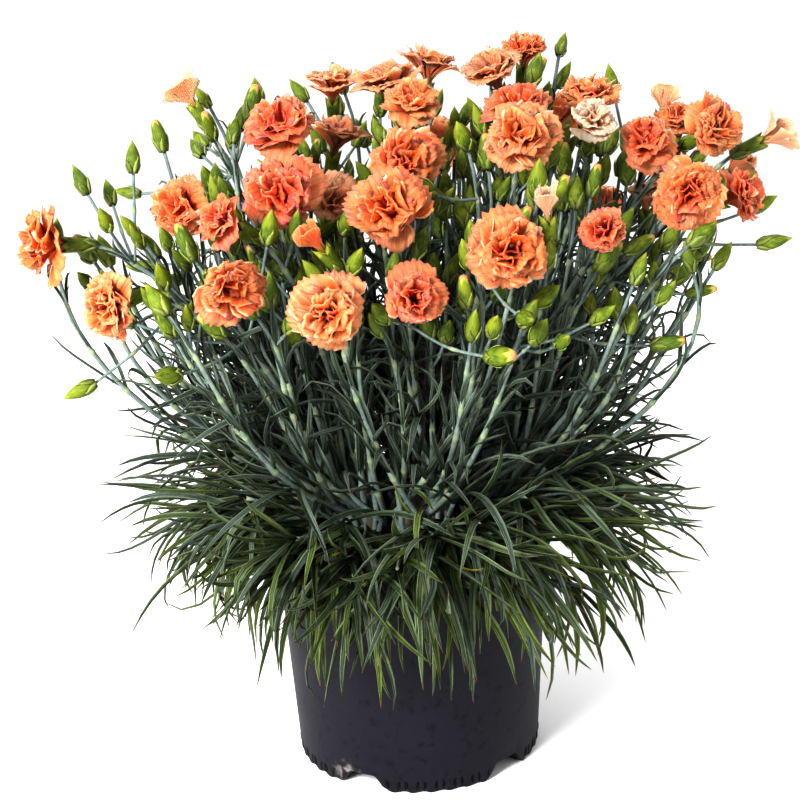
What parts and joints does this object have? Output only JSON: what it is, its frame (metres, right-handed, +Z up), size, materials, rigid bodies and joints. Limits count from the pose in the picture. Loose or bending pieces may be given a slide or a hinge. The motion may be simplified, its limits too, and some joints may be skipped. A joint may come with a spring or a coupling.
{
  "type": "potted dianthus plant",
  "caption": "Bushy double-flowered dianthus in bloom, with narrow channelled leaves, jointed stems and closed buds, rooted in a round tapered nursery pot.",
  "frame": {"origin": "middle of the pot's flat underside, on the ground", "axes": "+Z up along the pot's axis, -Y towards the side of the clump that leans out furthest with its blooms facing out"},
  "size_m": [0.5083, 0.397, 0.5009],
  "materials": {
    "black_plastic": "satin moulded polyethylene with fine speckle and scuffs",
    "potting_mix": "damp crumbly peat and bark",
    "foliage": "waxy glaucous leaves, stems and buds",
    "petals_orange": "soft fringed petals, bright orange",
    "petals_peach": "soft fringed petals, peach",
    "petals_coral": "soft fringed petals, coral to red-orange",
    "petals_faded": "soft fringed petals, faded to tan-pink",
    "petals_pale": "soft fringed petals, pale cream-peach"
  },
  "bodies": {
    "root": {"pot": "black_plastic", "soil": "potting_mix", "shoot_0": "foliage", "shoot_1": "foliage", "shoot_2": "foliage", "shoot_3": "foliage", "shoot_4": "foliage", "shoot_5": "foliage", "shoot_6": "foliage", "shoot_7": "foliage", "bloom_01": "petals_orange", "bloom_02": "petals_peach", "bloom_03": "petals_orange", "bloom_04": "petals_pale", "bloom_05": "petals_orange", "bloom_06": "petals_coral", "bloom_07": "petals_coral", "bloom_08": "petals_coral", "bloom_09": "petals_faded", "bloom_10": "petals_faded", "bloom_11": "petals_faded", "bloom_12": "petals_faded", "bloom_13": "petals_peach", "bloom_14": "petals_faded", "bloom_15": "petals_orange", "bloom_16": "petals_orange", "bloom_17": "petals_peach", "bloom_18": "petals_coral", "bloom_19": "petals_orange", "bloom_20": "petals_orange", "bloom_21": "petals_faded", "bloom_22": "petals_coral", "bloom_23": "petals_peach", "bloom_24": "petals_peach", "bloom_25": "petals_pale", "bloom_26": "petals_pale", "bloom_27": "petals_coral", "bloom_28": "petals_orange", "bloom_29": "petals_peach", "bloom_30": "petals_pale", "bloom_31": "petals_faded", "bloom_32": "petals_orange", "bloom_33": "petals_coral", "bloom_34": "petals_coral", "bloom_35": "petals_faded", "bloom_36": "petals_coral", "bloom_37": "petals_orange", "bloom_38": "petals_orange", "bloom_39": "petals_peach", "bloom_40": "petals_coral", "bloom_41": "petals_orange", "bloom_42": "petals_peach", "bloom_43": "petals_coral", "bloom_44": "petals_orange", "bloom_45": "petals_peach", "bloom_46": "petals_orange"}
  },
  "joints": []
}
